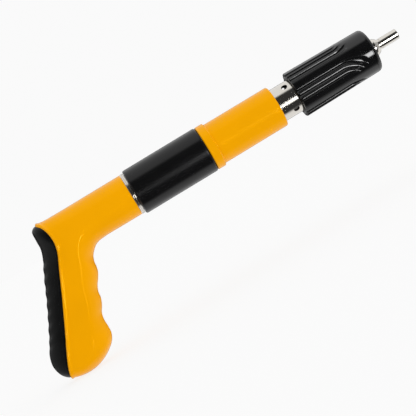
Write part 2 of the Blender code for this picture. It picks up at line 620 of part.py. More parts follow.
def make_striker(parent):
    profile = [(0, STRIKER_BORE_END), (STEM_HOLE, STRIKER_BORE_END), (STEM_HOLE, STRIKER_FRONT)]
    profile += [(STRIKER_RADIUS - 0.5, STRIKER_FRONT), (STRIKER_RADIUS, STRIKER_FRONT - 0.5)]
    profile += [(STRIKER_RADIUS, STRIKER_REAR), (STRIKER_TAIL, STRIKER_REAR)]
    profile += [(STRIKER_TAIL, STRIKER_REAR - TAIL_LENGTH), (0, STRIKER_REAR - TAIL_LENGTH)]
    striker = turned("striker", profile, STEEL, parent)
    slot_low, slot_high = (LATCH_REAR - GAP, -6.8, SLOT_FLOOR), (LATCH_FRONT + GAP, 6.8, 18)
    combine(striker, box("latch_slot", slot_low, slot_high, None, parent))
    keyway = box("cam_keyway", (CAM_REAR - GAP, -4.2, 11.0), (STRIKER_FRONT + 2, 4.2, 18), None, parent)
    combine(striker, keyway)
    middle = (LATCH_REAR + LATCH_FRONT) / 2
    low, high = SLOT_FLOOR + GAP, LATCH_BOTTOM - GAP
    spring = coil("latch_spring", 2.4, 0.35, 3, low, high, HARD_STEEL, parent, 8)
    spring.location.x = middle * MM


def make_latch(parent):
    latch = box("latch_block", (LATCH_REAR, -6.5, LATCH_BOTTOM), (LATCH_FRONT, 6.5, LATCH_TOP), HARD_STEEL, parent)
    tongue = [
        (LATCH_REAR, LATCH_TOP - 1),
        (LATCH_FRONT, LATCH_TOP - 1),
        (LATCH_FRONT, cam_face(LATCH_FRONT) - GAP),
        (LATCH_REAR, cam_face(LATCH_REAR) - GAP),
    ]
    combine(latch, prism("latch_tongue", tongue, CAM_HALF_WIDTH, None, parent), "UNION")
    hole = ((LATCH_REAR - 1, 0, LATCH_DROP), (LATCH_FRONT + 1, 0, LATCH_DROP))
    combine(latch, pins("latch_hole", STEM_HOLE, [hole], None, parent, HIDDEN_ROUND))


def make_firing_pin(parent):
    steps = [
        (1.1, PIN_FACE + 0.1, PIN_FACE - 1.5),
        (2.0, PIN_FACE - 1.5, PIN_COLLAR_FRONT),
        (PIN_COLLAR_RADIUS, PIN_COLLAR_FRONT, PIN_COLLAR_REAR),
        (1.6, PIN_COLLAR_REAR, STEM_REAR - PIN_TRAVEL),
    ]
    turned("firing_pin", rod_profile(steps), HARD_STEEL, parent, SMALL_ROUND)


clear_scene()
PARTS = new_collection("nail_gun")
CUTTERS = new_collection("cutters")
RECEIVER = body("receiver")
MUZZLE = body("muzzle", RECEIVER)
STRIKER = body("striker_frame", RECEIVER)
make_receiver(RECEIVER)
make_handle(RECEIVER)
make_covers(RECEIVER)
make_muzzle(MUZZLE)
make_muffler(body("muffler", MUZZLE))
make_striker(STRIKER)
make_latch(body("latch", STRIKER))
make_firing_pin(body("pin", MUZZLE))
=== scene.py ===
"""The nail gun's looks: detailed skins for what shows, a material for every piece, light, floor and camera.

Lengths are in millimetres until a mesh is made. Stations run along the barrel's axis from the muzzle face,
which is 0, and are negative behind it. Heights are measured from that axis.
"""

import json
import math

import bpy
import numpy as np
from mathutils import Matrix, Vector


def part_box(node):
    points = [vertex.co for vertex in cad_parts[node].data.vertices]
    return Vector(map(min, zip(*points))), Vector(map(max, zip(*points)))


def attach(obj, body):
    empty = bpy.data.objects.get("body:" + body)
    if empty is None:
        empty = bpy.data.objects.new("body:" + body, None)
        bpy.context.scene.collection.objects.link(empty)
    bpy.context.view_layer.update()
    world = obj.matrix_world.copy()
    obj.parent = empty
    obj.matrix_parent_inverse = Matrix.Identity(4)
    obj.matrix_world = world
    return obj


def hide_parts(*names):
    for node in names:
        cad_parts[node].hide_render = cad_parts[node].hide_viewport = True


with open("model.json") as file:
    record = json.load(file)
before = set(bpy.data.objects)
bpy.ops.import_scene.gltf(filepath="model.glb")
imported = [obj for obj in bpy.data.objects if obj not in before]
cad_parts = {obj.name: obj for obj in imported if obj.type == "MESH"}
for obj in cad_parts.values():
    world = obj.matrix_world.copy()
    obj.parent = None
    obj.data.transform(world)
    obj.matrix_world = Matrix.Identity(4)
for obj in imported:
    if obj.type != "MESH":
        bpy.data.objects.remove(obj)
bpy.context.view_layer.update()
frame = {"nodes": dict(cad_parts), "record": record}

MM = 0.001
MUZZLE_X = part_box("barrel")[1][0] / MM
AXIS_Z = (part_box("vent_tube")[0][2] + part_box("vent_tube")[1][2]) / 2 / MM
GAP = 0.3  # between pieces that touch
VENT_STATION, VENT_SIZE = -115.8, 2.7


def front(node):
    """Station of a CAD node's front end."""
    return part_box(node)[1][0] / MM - MUZZLE_X


def rear(node):
    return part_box(node)[0][0] / MM - MUZZLE_X


def radius(node):
    """Half of a turned node's width."""
    return (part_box(node)[1][1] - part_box(node)[0][1]) / 2 / MM


# ---------------------------------------------------------------------------------------------- meshes


def to_world(points):
    """(station, across, height) points in millimetres, as metres in the frame."""
    return (np.asarray(points, float) + (MUZZLE_X, 0, AXIS_Z)) * MM


def add_object(name, mesh):
    obj = bpy.data.objects.new(name, mesh)
    bpy.context.scene.collection.objects.link(obj)
    return obj


def grid_object(name, grid, loop_rings=True, caps=False, flip=False):
    """A surface through rings of points. Each ring closes on itself, and the last can join the first."""
    rings, sides, _ = grid.shape
    ids = np.arange(rings * sides).reshape(rings, sides)
    after = ids if loop_rings else ids[:-1]
    following = np.roll(ids, -1, axis=0) if loop_rings else ids[1:]
    quads = np.stack([after, np.roll(after, -1, 1), np.roll(following, -1, 1), following], axis=-1)
    quads = quads.reshape(-1, 4)
    if flip:
        quads = quads[:, ::-1]
    faces = quads.tolist()
    if caps:
        ends = [ids[0].tolist()[::-1], ids[-1].tolist()]
        faces += [end[::-1] for end in ends] if flip else ends
    mesh = bpy.data.meshes.new(name)
    mesh.from_pydata(to_world(grid.reshape(-1, 3)).tolist(), [], faces)
    mesh.validate()
    return add_object(name, mesh)


def smooth(obj, angle=40, weighted=True):
    """Shades smooth but for sharp edges, and lets flat faces keep their own direction beside small ones."""
    obj.data.shade_smooth()
    obj.data.set_sharp_from_angle(angle=math.radians(angle))
    if weighted:
        modifier = obj.modifiers.new("Normals", "WEIGHTED_NORMAL")
        modifier.keep_sharp = True
    return obj


def filleted(corners, steps=6):
    """A closed outline from (radius, station, fillet) corners, with each corner rounded by its fillet."""
    outline = []
    count = len(corners)
    for i, (r, s, size) in enumerate(corners):
        here = np.array((r, s), float)
        before = np.array(corners[i - 1][:2], float) - here
        after = np.array(corners[(i + 1) % count][:2], float) - here
        if not size:
            outline.append(here)
            continue
        before, after = before / np.linalg.norm(before), after / np.linalg.norm(after)
        half = math.acos(np.clip(before @ after, -1, 1)) / 2
        reach = size / math.tan(half)
        middle = here + (before + after) / np.linalg.norm(before + after) * size / math.sin(half)
        start, end = here + before * reach - middle, here + after * reach - middle
        for k in range(steps + 1):
            share = k / steps
            sweep = math.pi - 2 * half
            point = (math.sin((1 - share) * sweep) * start + math.sin(share * sweep) * end) / math.sin(sweep)
            outline.append(middle + point)
    return np.array(outline)


def lathe(name, corners, sides=144, steps=6):
    """A turned ring from its outline, outer side first, from the muzzle end to the rear."""
    outline = filleted(corners, steps)
    angles = np.linspace(0, math.tau, sides, endpoint=False)
    grid = np.empty((len(outline), sides, 3))
    grid[..., 0] = outline[:, 1:2]
    grid[..., 1] = outline[:, 0:1] * np.cos(angles)
    grid[..., 2] = outline[:, 0:1] * np.sin(angles)
    return grid_object(name, grid, flip=True)


def cylinder(name, size, start, end, sides=48, flare=None):
    """A cutter from one point to another. flare gives its radius at the end, if it isn't the same."""
    start, end = np.array(start, float), np.array(end, float)
    along = (end - start) / np.linalg.norm(end - start)
    across = np.cross(along, (1, 0, 0) if abs(along[0]) < 0.9 else (0, 1, 0))
    across /= np.linalg.norm(across)
    other = np.cross(along, across)
    angles = np.linspace(0, math.tau, sides, endpoint=False)[:, None]
    circle = np.cos(angles) * across + np.sin(angles) * other
    grid = np.stack([start + circle * size, end + circle * (size if flare is None else flare)])
    return grid_object(name, grid, loop_rings=False, caps=True)


def slab(name, outline, half_width):
    """A cutter: an outline of (station, height) points, extruded across the tool."""
    flat = np.array([(s, 0.0, h) for s, h in outline])
    grid = np.stack([flat - (0, half_width, 0), flat + (0, half_width, 0)])
    area = sum(a[0] * b[2] - b[0] * a[2] for a, b in zip(flat, np.roll(flat, -1, 0)))
    return grid_object(name, grid, loop_rings=False, caps=True, flip=area > 0)


def cut(obj, *cutters, operation="DIFFERENCE"):
    """Applies Boolean cuts to a mesh and removes the cutters."""
    for other in cutters:
        modifier = obj.modifiers.new("Cut", "BOOLEAN")
        modifier.operation = operation
        modifier.object = other
        modifier.solver = "EXACT"
        bpy.context.view_layer.update()
        graph = bpy.context.evaluated_depsgraph_get()
        mesh = bpy.data.meshes.new_from_object(obj.evaluated_get(graph))
        obj.modifiers.clear()
        obj.data = mesh
    for other in cutters:
        bpy.data.objects.remove(other)
    return obj


def around(station, inner, outer, angle):
    """A span that points away from the axis, at an angle in degrees from +Y towards +Z."""
    y, z = math.cos(math.radians(angle)), math.sin(math.radians(angle))
    return (station, inner * y, inner * z), (station, outer * y, outer * z)


def ramp(values, low, high):
    """0 below low, 1 above high, and smooth between."""
    share = np.clip((values - low) / (high - low), 0, 1)
    return share * share * (3 - 2 * share)


# ------------------------------------------------------------------------------------------- materials


class Finish:
    """A Principled material and short ways to add nodes to it. Textures use the object's own coordinates."""

    def __init__(self, name, colour, roughness, metallic=0.0, **constants):
        self.material = bpy.data.materials.new(name)
        self.material.use_nodes = True
        self.tree = self.material.node_tree
        self.shader = self.tree.nodes["Principled BSDF"]
        self.set("Base Color", (*colour, 1))
        self.set("Roughness", roughness)
        self.set("Metallic", metallic)
        for socket, value in constants.items():
            self.set(socket.replace("_", " "), value)
        self.place = self.tree.nodes.new("ShaderNodeTexCoord").outputs["Object"]

    def set(self, socket, value):
        self.shader.inputs[socket].default_value = value

    def link(self, output, node_input):
        self.tree.links.new(output, node_input)

    def stretched(self, along, across):
        """Coordinates scaled along the barrel and across it."""
        mapping = self.tree.nodes.new("ShaderNodeMapping")
        mapping.inputs["Scale"].default_value = (along, across, across)
        self.link(self.place, mapping.inputs["Vector"])
        return mapping.outputs["Vector"]

    def noise(self, scale, detail=3.0, place=None):
        node = self.tree.nodes.new("ShaderNodeTexNoise")
        node.inputs["Scale"].default_value = scale
        node.inputs["Detail"].default_value = detail
        self.link(place or self.place, node.inputs["Vector"])
        return node.outputs["Fac"]

    def rescale(self, value, low, high, to_low, to_high):
        node = self.tree.nodes.new("ShaderNodeMapRange")
        for socket, number in zip(("From Min", "From Max", "To Min", "To Max"), (low, high, to_low, to_high)):
            node.inputs[socket].default_value = number
        self.link(value, node.inputs["Value"])
        return node.outputs["Result"]

    def colours(self, value, stops):
        """Colours that follow a value, from (position, colour) stops."""
        node = self.tree.nodes.new("ShaderNodeValToRGB")
        elements = node.color_ramp.elements
        while len(elements) < len(stops):
            elements.new(0.5)
        for element, (position, colour) in zip(elements, stops):
            element.position = position
            element.color = (*colour, 1)
        self.link(value, node.inputs["Fac"])
        self.link(node.outputs["Color"], self.shader.inputs["Base Color"])

    def distance(self, along, across, point):
        """How far away a point is in metres, with the axes scaled: along the barrel, and across it."""
        node = self.tree.nodes.new("ShaderNodeVectorMath")
        node.operation = "DISTANCE"
        self.link(self.stretched(along, across), node.inputs[0])
        node.inputs[1].default_value = point
        return node.outputs["Value"]

    def product(self, first, second):
        node = self.tree.nodes.new("ShaderNodeMath")
        node.operation = "MULTIPLY"
        self.link(first, node.inputs[0])
        self.link(second, node.inputs[1])
        return node.outputs["Value"]

    def darken(self, amount, least):
        """Multiplies the colour by 1 where amount is 0, and by least where it is 1."""
        node = self.tree.nodes.new("ShaderNodeVectorMath")
        node.operation = "SCALE"
        colour = self.shader.inputs["Base Color"]
        self.link(colour.links[0].from_socket, node.inputs[0])
        self.link(self.rescale(amount, 0, 1, 1, least), node.inputs["Scale"])
        self.link(node.outputs["Vector"], colour)

    def rough(self, value, low, high, smoothest, roughest):
        self.link(self.rescale(value, low, high, smoothest, roughest), self.shader.inputs["Roughness"])

    def bump(self, *layers):
        """Bumps on top of each other, from (height, strength, depth in millimetres) layers."""
        normal = None
        for height, strength, depth in layers:
            node = self.tree.nodes.new("ShaderNodeBump")
            node.inputs["Strength"].default_value = strength
            node.inputs["Distance"].default_value = depth * MM
            self.link(height, node.inputs["Height"])
            if normal:
                self.link(normal, node.inputs["Normal"])
            normal = node.outputs["Normal"]
        self.link(normal, self.shader.inputs["Normal"])


def shade(colour, factor):
    return tuple(channel * factor for channel in colour)


def yellow_plastic():
    """Glossy moulded plastic: even colour with slight flow marks, and a faint orange peel."""
    base = (0.918, 0.388, 0.0)
    made = Finish("yellow_plastic", base, 0.2, Specular_IOR_Level=0.22, Specular_Tint=(1.0, 0.8, 0.12, 1.0))
    clouds = made.noise(26, 2)
    made.colours(clouds, [(0.3, shade(base, 0.975)), (0.7, shade(base, 1.02))])
    made.rough(made.noise(900, 4), 0.35, 0.65, 0.17, 0.23)
    made.bump((made.noise(420, 2), 0.05, 0.2), (made.noise(2600, 2), 0.05, 0.04))
    return made.material


def black_plastic():
    """Semi-gloss black sleeve with a very fine moulded grain."""
    base = (0.0045, 0.0045, 0.0048)
    made = Finish("black_plastic", base, 0.2, Specular_IOR_Level=0.32)
    made.colours(made.noise(40, 3), [(0.3, shade(base, 0.85)), (0.7, shade(base, 1.2))])
    made.rough(made.noise(1400, 4), 0.3, 0.7, 0.15, 0.24)
    made.bump((made.noise(1900, 3), 0.06, 0.05))
    return made.material


def black_paint():
    """Black coat on the machined muffler: glossy on its smooth bands, with fine dust in the coat."""
    base = (0.004, 0.004, 0.0043)
    made = Finish("black_paint", base, 0.12, Specular_IOR_Level=0.55)
    made.colours(made.noise(60, 3), [(0.35, shade(base, 0.8)), (0.75, shade(base, 1.5))])
    made.rough(made.noise(800, 5), 0.3, 0.7, 0.10, 0.15)
    made.bump((made.noise(700, 2), 0.03, 0.08), (made.noise(3000, 3), 0.02, 0.03))
    return made.material


def black_rubber():
    """Soft-touch rubber: satin, finely pebbled, a little dusty in patches."""
    base = (0.0035, 0.0038, 0.0038)
    made = Finish("black_rubber", base, 0.3, Specular_IOR_Level=0.2)
    made.colours(made.noise(70, 4), [(0.35, shade(base, 0.8)), (0.8, shade(base, 1.7))])
    made.rough(made.noise(500, 4), 0.3, 0.7, 0.26, 0.36)
    made.bump((made.noise(1500, 3), 0.10, 0.08))
    return made.material


# Painted shade: the chrome is darkened deep inside the vent holes, where shade falls.
VENT_SHADE_DEPTH, VENT_SHADE_REACH = (15.2, 15.7), (4, 6)  # from the axis, and along it from the vents' middle
VENT_SHADE_SHARE = 0.12  # share of the colour that is left


def chrome():
    """Polished chromed steel, with hair-fine turning marks round the axis, and painted shade inside the
    vents.
    """
    base = (0.70, 0.67, 0.62)
    made = Finish("chrome", base, 0.2, 1.0)
    made.colours(made.noise(30, 3), [(0.3, shade(base, 0.95)), (0.7, shade(base, 1.03))])
    lines = made.noise(1.0, 4, made.stretched(9000, 60))
    made.rough(lines, 0.3, 0.7, 0.10, 0.17)
    made.bump((lines, 0.03, 0.02))
    # Painted shade: darkens the chrome inside the vent holes, deeper than the tube's outside and close to the
    # vents.
    vent_x = (MUZZLE_X + VENT_STATION) * MM
    from_axis, from_vents = made.distance(0, 1, (0, 0, AXIS_Z * MM)), made.distance(1, 0, (vent_x, 0, 0))
    inside = made.rescale(from_axis, VENT_SHADE_DEPTH[0] * MM, VENT_SHADE_DEPTH[1] * MM, 1, 0)
    beside = made.rescale(from_vents, VENT_SHADE_REACH[0] * MM, VENT_SHADE_REACH[1] * MM, 1, 0)
    made.darken(made.product(inside, beside), VENT_SHADE_SHARE)
    return made.material


def machined_steel(name="machined_steel", base=(0.42, 0.42, 0.42), roughness=0.32):
    """Bare steel with turning marks and a slight oil stain."""
    made = Finish(name, base, roughness, 1.0)
    made.colours(made.noise(90, 5), [(0.35, shade(base, 0.75)), (0.7, shade(base, 1.1))])
    lines = made.noise(1.0, 5, made.stretched(5000, 40))
    made.rough(lines, 0.3, 0.7, roughness - 0.08, roughness + 0.1)
    made.bump((lines, 0.12, 0.03))
    return made.material


def hardened_steel():
    """Blackened steel, with brown and blue heat tints."""
    made = Finish("hardened_steel", (0.09, 0.09, 0.1), 0.38, 1.0)
    tints = [(0.3, (0.05, 0.05, 0.055)), (0.5, (0.10, 0.10, 0.11)), (0.75, (0.15, 0.13, 0.11))]
    made.colours(made.noise(110, 5), tints)
    made.rough(made.noise(700, 4), 0.3, 0.7, 0.28, 0.48)
    made.bump((made.noise(2200, 3), 0.1, 0.03))
    return made.material


def pale_floor():
    """Bright of its own, so that it stays even and carries only a breath of shadow."""
    made = Finish("pale_floor", (0.16, 0.16, 0.16), 0.9, Specular_IOR_Level=0.0, Emission_Strength=0.80)
    made.set("Emission Color", (1, 1, 1, 1))
    return made.material


FINISHES = {
    "yellow_plastic": yellow_plastic(),
    "black_plastic": black_plastic(),
    "black_paint": black_paint(),
    "black_rubber": black_rubber(),
    "chrome": chrome(),
    "machined_steel": machined_steel(),
    "hardened_steel": hardened_steel(),
    "spring_steel": machined_steel("spring_steel", (0.3, 0.3, 0.31), 0.28),
}
SLOT_OF = {entry["node"]: entry["material_slot"] for entry in frame["record"]["subparts"]}


def finish_nodes():
    """Gives every CAD node the finish of its slot."""
    for name, obj in frame["nodes"].items():
        obj.data.materials.clear()
        obj.data.materials.append(FINISHES[SLOT_OF[name]])


def skin(obj, body, *nodes):
    """Makes a piece stand for CAD nodes: it rides on their body and takes their finish."""
    slot = SLOT_OF[nodes[0]]
    obj.data.materials.clear()
    obj.data.materials.append(FINISHES[slot])
    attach(obj, body)
    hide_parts(*nodes)
    return obj


# ---------------------------------------------------------------------------------------------- handle

HANDLE_FRONT = front("handle_shell_right")
# Sections of the handle's form, each from its back line to its front line: (back station, back height,
# front station, front height, half width, crest's place, its sharpness, fullness behind).
# The crest is where the section is widest, from 0 in the middle to 1 at the front line.
HANDLE_SECTIONS = np.array(
    [
        (HANDLE_FRONT, 20.2, HANDLE_FRONT, -20.2, 20.2, 0.0, 0.0, 2.0),
        (-303.0, 20.2, -303.0, -20.2, 20.2, 0.0, 0.0, 2.0),
        (-322.5, 20.2, -322.5, -20.2, 20.2, 0.02, 0.0, 2.0),
        (-346.0, 20.2, -333.5, -22.0, 20.2, 0.20, 0.1, 2.5),
        (-362.5, 20.4, -339.0, -26.3, 20.2, 0.41, 0.8, 3.1),
        (-372.2, 20.7, -342.3, -30.5, 20.2, 0.50, 1.0, 3.0),
        (-377.8, 17.6, -343.9, -35.0, 20.0, 0.51, 1.0, 2.6),
        (-379.0, 9.0, -344.5, -39.6, 19.7, 0.47, 1.0, 2.2),
        (-379.4, 0.4, -345.8, -44.2, 19.3, 0.41, 1.0, 1.95),
        (-381.8, -7.2, -348.7, -49.2, 18.8, 0.41, 1.0, 1.8),
        (-386.5, -16.0, -352.3, -54.2, 18.3, 0.46, 1.0, 1.7),
        (-392.0, -26.9, -354.8, -59.6, 17.9, 0.485, 1.0, 1.65),
        (-398.1, -40.0, -355.7, -65.5, 17.6, 0.49, 1.0, 1.65),
        (-404.5, -52.8, -358.4, -71.9, 17.6, 0.51, 1.0, 1.65),
        (-410.9, -65.0, -362.0, -77.8, 17.8, 0.545, 1.0, 1.65),
        (-417.2, -76.9, -363.5, -84.2, 18.3, 0.535, 1.0, 1.65),
        (-423.0, -87.8, -363.5, -91.0, 18.8, 0.465, 1.0, 1.65),
        (-425.0, -96.4, -364.1, -97.8, 18.8, 0.39, 0.8, 1.7),
        (-423.6, -104.6, -367.6, -104.4, 17.6, 0.32, 0.35, 1.8),
        (-420.0, -110.5, -374.4, -110.2, 15.0, 0.20, 0.1, 1.9),
        (-413.6, -114.9, -382.0, -114.4, 10.5, 0.05, 0.0, 2.0),
        (-405.5, -117.2, -390.0, -117.0, 5.5, 0.0, 0.0, 2.0),
        (-399.6, -117.88, -397.0, -117.88, 0.9, 0.0, 0.0, 2.0),
    ]
)
BACKSTRAP_LINE = np.array(
    [
        (-376.5, 24.0),
        (-371.8, 19.0),
        (-369.1, 16.3),
        (-366.4, 11.0),
        (-365.0, 4.0),
        (-365.0, -2.2),
        (-366.2, -7.7),
        (-368.1, -12.8),
        (-370.5, -17.6),
        (-372.9, -22.4),
        (-379.8, -37.0),
        (-386.8, -51.6),
        (-394.0, -66.0),
        (-401.2, -80.4),
        (-408.5, -94.8),
        (-413.0, -104.7),
        (-416.2, -113.3),
        (-419.6, -123.0),
    ]
)
CREST_SHARE = 0.36  # share of a section's points that lie in front of the crest
GRIP_CREST = 0.4  # place of the crest from which on a section is the grip's
FRONT_FLATNESS, FLANK_FLATNESS = 0.10, 0.15  # how far the grip's sections are from an ellipse
FLANK_FALL, FRONT_FALL = 0.08, 0.30  # how much the section narrows away from a sharp crest
STRAP_THICKNESS, HANDLE_WALL, SMALLEST_HALF_WIDTH = 3.0, 6.0, 6.0
TUBE_SPACE, TUBE_SPACE_END = 18.3, -364.0
RIDGE_PITCH, RIDGE_HEIGHT, RIDGES_TOP, RIDGES_BOTTOM = 9.9, 0.6, -12.0, -80.0
GROOVE_DEPTH, GROOVE_WIDTH = 0.5, 0.55
BEAD_HEIGHT, BEAD_WIDTH, BEAD_PLACE = 1.2, 1.2, 1.7  # placed in front of the groove
REGION_REAR, REGION_AHEAD, REGION_BOTTOM, REGION_TOP = -470, -270, -140, 60  # beyond the handle on every side
HALF_REGION = 30  # beyond it sideways
SPLIT = GAP / 3  # from the middle plane to each half shell


def spline(points, count):
    """Smooth curve through rows of numbers, evenly spaced along its first four columns or fewer."""
    measured = points[:, : min(4, points.shape[1])]
    steps = np.linalg.norm(np.diff(measured, axis=0), axis=1)
    at = np.concatenate([[0], np.cumsum(steps)])
    slopes = np.diff(points, axis=0) / steps[:, None]
    tangents = np.empty_like(points)
    tangents[0], tangents[-1] = slopes[0], slopes[-1]
    before, after = steps[:-1, None], steps[1:, None]
    tangents[1:-1] = (slopes[:-1] * after + slopes[1:] * before) / (before + after)
    where = np.linspace(0, at[-1], count)
    i = np.clip(np.searchsorted(at, where, "right") - 1, 0, len(steps) - 1)
    u = ((where - at[i]) / steps[i])[:, None]
    run = steps[i][:, None]
    return (
        (2 * u**3 - 3 * u**2 + 1) * points[i]
        + (u**3 - 2 * u**2 + u) * run * tangents[i]
        + (-2 * u**3 + 3 * u**2) * points[i + 1]
        + (u**3 - u**2) * run * tangents[i + 1]
    )


def signed_distance(stations, heights, line):
    """Distance of points from a line in the side view, positive in front of it."""
    fine = spline(line, 240)
    best = np.full(stations.shape, 1e9)
    sign = np.ones(stations.shape)
    for (xa, za), (xb, zb) in zip(fine[:-1], fine[1:]):
        run = math.hypot(xb - xa, zb - za)
        ux, uz = (xb - xa) / run, (zb - za) / run
        along = np.clip((stations - xa) * ux + (heights - za) * uz, 0, run)
        off_x, off_z = stations - xa - along * ux, heights - za - along * uz
        distance = np.hypot(off_x, off_z)
        nearer = distance < best
        best = np.where(nearer, distance, best)
        sign = np.where(nearer, np.sign(ux * off_z - uz * off_x), sign)
    return best * sign


def surface_normals(grid):
    """Outward directions of a grid of rings."""
    along = np.gradient(grid, axis=0)
    wrapped = np.concatenate([grid[:, -1:], grid, grid[:, :1]], axis=1)
    across = (wrapped[:, 2:] - wrapped[:, :-2]) / 2
    normals = np.cross(across, along)
    return normals / np.maximum(np.linalg.norm(normals, axis=-1, keepdims=True), 1e-9)


def handle_grid(rings, sides, inset=0.0):
    """The handle's plain form. Its sections turn from round, on the tube, to egg-shaped in the grip.

    With an inset each section is smaller all round, and the ones at the heel that are too small are left out.
    """
    rows = spline(HANDLE_SECTIONS, rings)
    if inset:
        rows = rows[(rows[:, 4] > inset + SMALLEST_HALF_WIDTH) & (rows[:, 0] < HANDLE_FRONT - inset)]
        half = (rows[:, 2:4] - rows[:, 0:2]) / 2
        step = half / np.linalg.norm(half, axis=1)[:, None] * inset
        moved = [rows[:, 0:2] + step, rows[:, 2:4] - step, rows[:, 4:5] - inset, rows[:, 5:]]
        rows = np.concatenate(moved, axis=1)
    count = len(rows)
    back, ahead = rows[:, 0:2], rows[:, 2:4]
    half_width, crest, sharp, fullness = (rows[:, i : i + 1] for i in range(4, 8))
    share = np.abs(np.arange(sides) / sides * 2 - 1)[None, :]  # 1 at the back line, 0 at the front line
    bend = np.arccos(crest)  # the crest's angle from the front line
    behind = bend + (share - CREST_SHARE) / (1 - CREST_SHARE) * (math.pi - bend)
    angles = np.where(share < CREST_SHARE, share / CREST_SHARE * bend, behind)
    along = np.cos(angles)
    side = np.sign(sides / 2 - np.arange(sides))[None, :]
    reach = np.where(along < crest, (crest - along) / (1 + crest), (along - crest) / (1 - crest))
    gripness = ramp(crest, 0.0, GRIP_CREST)
    power = np.where(along < crest, fullness, 2 - FRONT_FLATNESS * gripness)
    fall = np.where(along < crest, FLANK_FALL, FRONT_FALL) * sharp
    roundness = 1 / (2 + FLANK_FLATNESS * gripness)
    width = (1 - fall * reach) * np.clip(1 - reach**power, 0, 1) ** roundness
    middle, half = (back + ahead) / 2, (ahead - back) / 2
    grid = np.empty((count, sides, 3))
    grid[..., 0] = middle[:, 0:1] + along * half[:, 0:1]
    grid[..., 1] = side * width * half_width
    grid[..., 2] = middle[:, 1:2] + along * half[:, 1:2]
    return grid


def handle_details(grid):
    """Moves the form's points outwards or inwards: bead, joint line, and the strap's ridges."""
    stations, across, heights = grid[..., 0], grid[..., 1], grid[..., 2]
    distance = signed_distance(stations, heights, BACKSTRAP_LINE)
    groove = -GROOVE_DEPTH * np.exp(-((distance / GROOVE_WIDTH) ** 2))
    bead = BEAD_HEIGHT * np.exp(-(((distance - BEAD_PLACE) / BEAD_WIDTH) ** 2))
    back = 1 - ramp(np.abs(across), 3, 10)
    wave = 0.5 + 0.5 * np.cos((heights - RIDGES_TOP) / RIDGE_PITCH * math.tau)
    fade = ramp(heights, RIDGES_BOTTOM - 5, RIDGES_BOTTOM + 3)
    fade = fade * (1 - ramp(heights, RIDGES_TOP - 3, RIDGES_TOP + 5))
    ridges = -RIDGE_HEIGHT * wave * fade * back * ramp(-distance, 1, 5)
    return grid + surface_normals(grid) * (groove + bead + ridges)[..., None]


def handle_solid(name, inset=0.0, rings=300, sides=176):
    grid = handle_grid(rings, sides, inset)
    if not inset:
        grid = handle_details(grid)
        grid[0, :, 0] = HANDLE_FRONT
    return grid_object(name, grid, loop_rings=False, caps=True)


def moved_line(line, distance):
    """The same line, moved sideways towards the handle's back."""
    runs = np.gradient(line, axis=0)
    runs /= np.linalg.norm(runs, axis=1)[:, None]
    return line + np.stack([runs[:, 1], -runs[:, 0]], axis=1) * distance


SCREW_NODES = [name for name in frame["nodes"] if name.startswith("handle_screw")]
SCREW_SEAT, HEAD_RADIUS, SHANK_RADIUS = 9.0, 3.2, 1.5
BOSS_RADIUS, BOSS_REACH, RECESS_ROOM = 4.0, 14.0, 0.4
THREAD_PITCH, THREAD_DEPTH = 1.0, 0.35
CROSS_REACH, CROSS_HALF_WIDTH, CROSS_DEPTH = 1.7, 0.35, 1.4


def screw_place(name):
    """Station and height of a screw, which lies across the tool, and how far across its two ends are."""
    low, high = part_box(name)
    station = (low[0] + high[0]) / 2 / MM - MUZZLE_X
    height = (low[2] + high[2]) / 2 / MM - AXIS_Z
    return station, height, low[1] / MM, high[1] / MM


def add_screw_seats(shell, side):
    """Bosses inside a half shell, with the holes that the screws pass through or bite into."""
    for name in SCREW_NODES:
        station, height, tip, _ = screw_place(name)
        inner, outer = (station, side * SPLIT, height), (station, side * BOSS_REACH, height)
        cut(shell, cylinder("boss", BOSS_RADIUS, inner, outer), operation="UNION")
        inner, outer = (station, tip - 1, height), (station, SCREW_SEAT + 1, height)
        cut(shell, cylinder("hole", SHANK_RADIUS + GAP, inner, outer))
        if side > 0:
            inner, outer = (station, SCREW_SEAT, height), (station, SCREW_SEAT + HALF_REGION, height)
            cut(shell, cylinder("recess", HEAD_RADIUS + RECESS_ROOM, inner, outer))


def screw_rings(tip, top):
    """(radius, place across the tool) of a screw's rings, from the top of its head to its tip."""
    bottom, root = SCREW_SEAT + GAP, SHANK_RADIUS - THREAD_DEPTH
    rings = [(0.3, top), (1.6, top - 0.1), (2.6, top - 0.5), (HEAD_RADIUS - 0.05, top - 1.2)]
    rings += [(HEAD_RADIUS, top - 1.6), (HEAD_RADIUS, bottom + 0.2), (HEAD_RADIUS - 0.2, bottom)]
    rings += [(SHANK_RADIUS - 0.05, bottom)]
    for turn in np.arange(bottom - 3, tip + 1.6, -THREAD_PITCH):
        rings += [(root, turn), (SHANK_RADIUS, turn - 0.5), (root, turn - 0.7)]
    return rings + [(root - 0.05, tip + 0.8), (0.4, tip)]


def make_screws():
    """Pan-head screws with a cross recess and a threaded shank."""
    for name in SCREW_NODES:
        station, height, tip, top = screw_place(name)
        rings = screw_rings(tip, top)
        angles = np.linspace(0, math.tau, 48, endpoint=False)
        grid = np.empty((len(rings), len(angles), 3))
        for ring, (size, across) in enumerate(rings):
            grid[ring, :, 0] = station + size * np.cos(angles)
            grid[ring, :, 1] = across
            grid[ring, :, 2] = height + size * np.sin(angles)
        screw = grid_object(name + "_skin", grid, loop_rings=False, caps=True)
        for angle in (math.radians(45), math.radians(135)):
            along = np.array((math.cos(angle), math.sin(angle)))
            beside = np.array((-along[1], along[0])) * CROSS_HALF_WIDTH
            along = along * CROSS_REACH
            outline = [along + beside, beside - along, -along - beside, along - beside]
            half_width = 1.2
            slot = slab("slot", [(station + x, height + z) for x, z in outline], half_width)
            slot.location.y = (top - CROSS_DEPTH + half_width) * MM
            cut(screw, slot)
        skin(smooth(screw, 35), "receiver", name)


